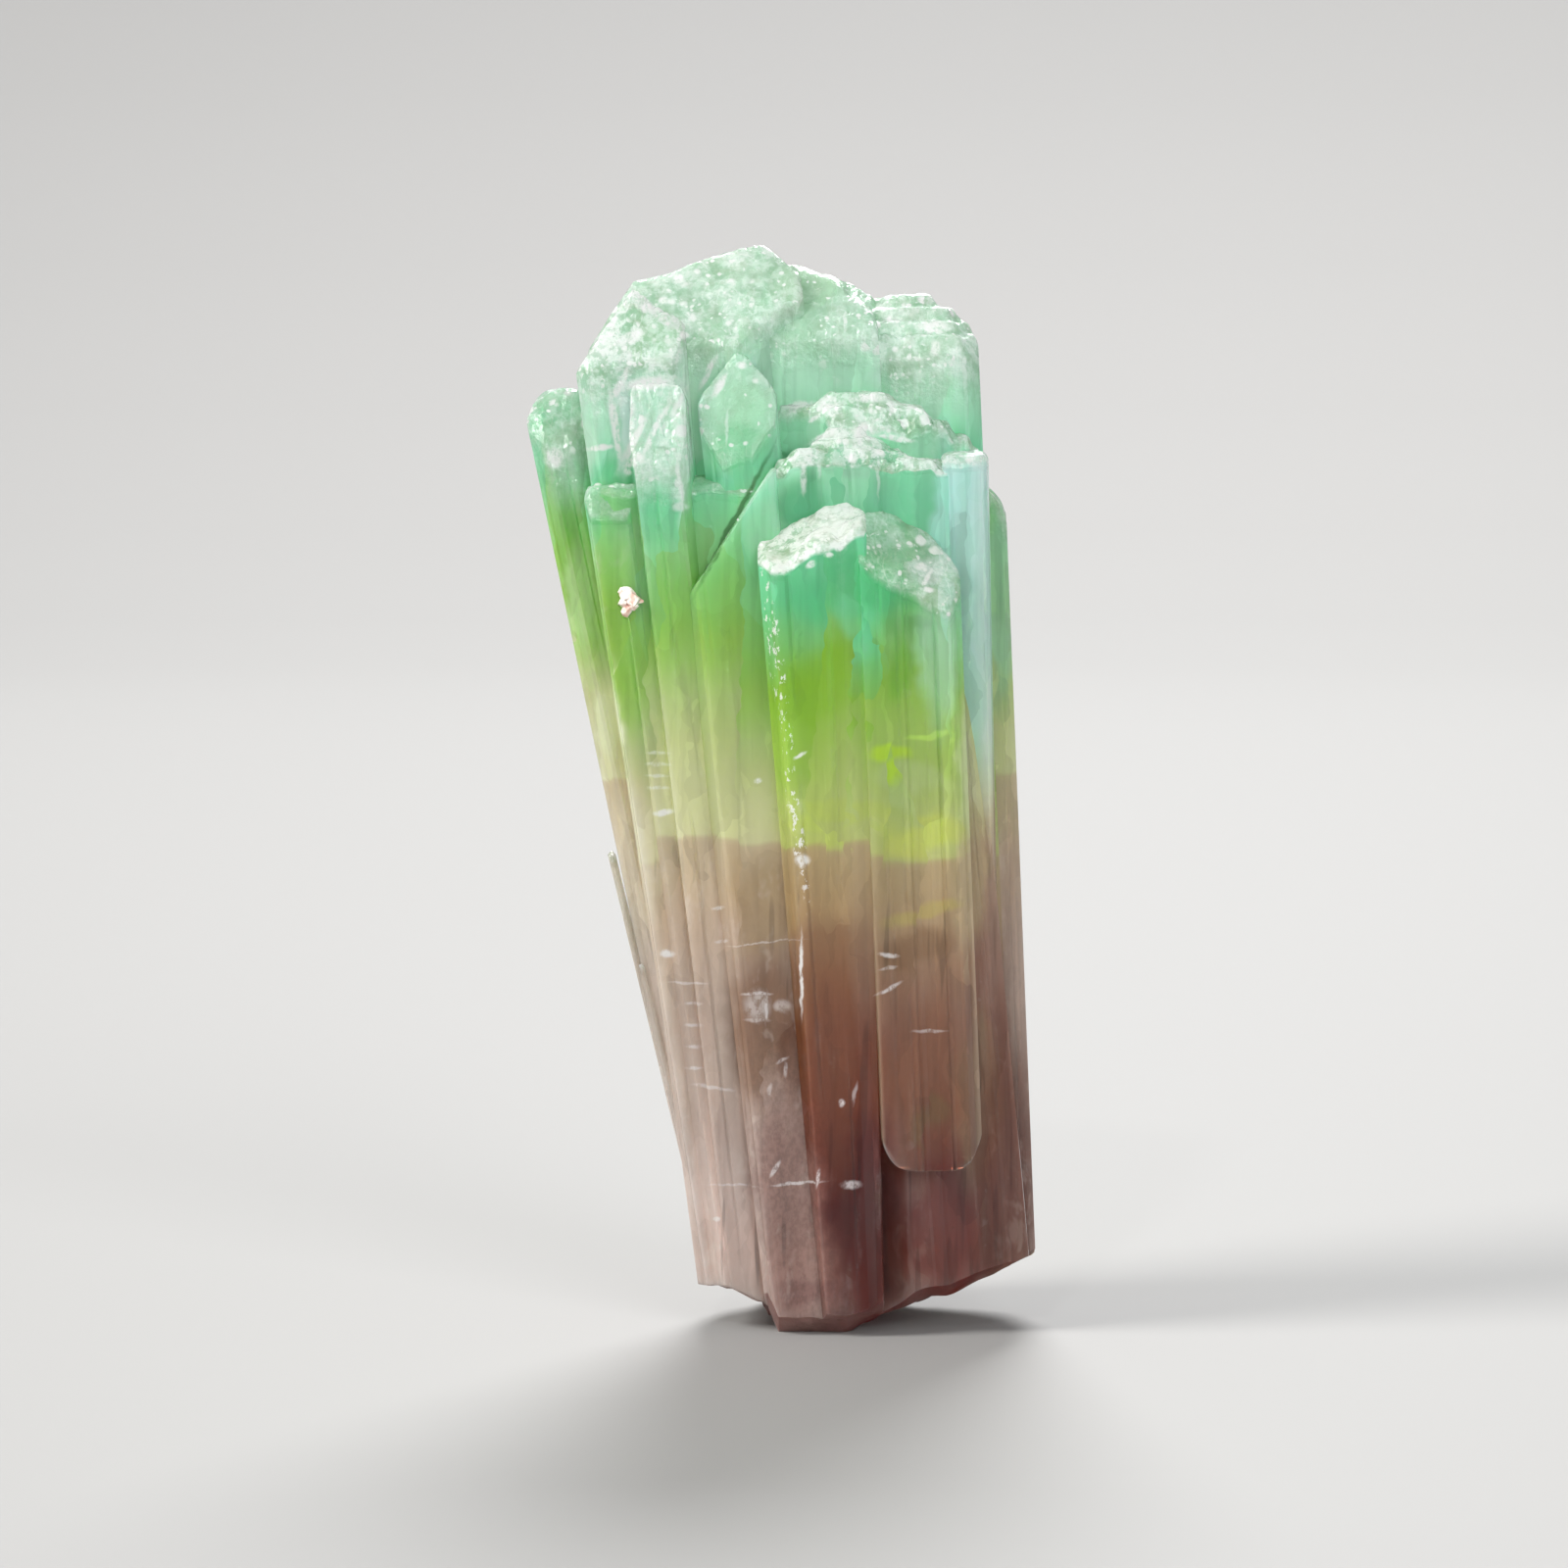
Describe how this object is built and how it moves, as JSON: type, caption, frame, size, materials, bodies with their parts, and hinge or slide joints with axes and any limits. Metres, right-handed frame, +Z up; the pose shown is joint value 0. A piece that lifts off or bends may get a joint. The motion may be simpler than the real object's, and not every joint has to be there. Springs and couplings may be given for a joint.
{
  "type": "tricolor tourmaline crystal",
  "caption": "Standing cluster of parallel, striated tourmaline prisms that fan out upward, with etched caps, colour zones from mint to wine and a broken foot.",
  "frame": {"origin": "middle of the outline seen from above, at the level of the foot's lowest flat", "axes": "+Z up along the height of the cluster, -Y towards the front that shows the terraced caps, +X to the right seen from the front"},
  "size_m": [0.0292, 0.0188, 0.062],
  "materials": {
    "tourmaline": "glassy, striated sides and frosted, etched caps; pale mint, teal green and grass green above, beige and wine red below"
  },
  "bodies": {
    "root": {"tourmaline": "tourmaline"}
  },
  "joints": []
}
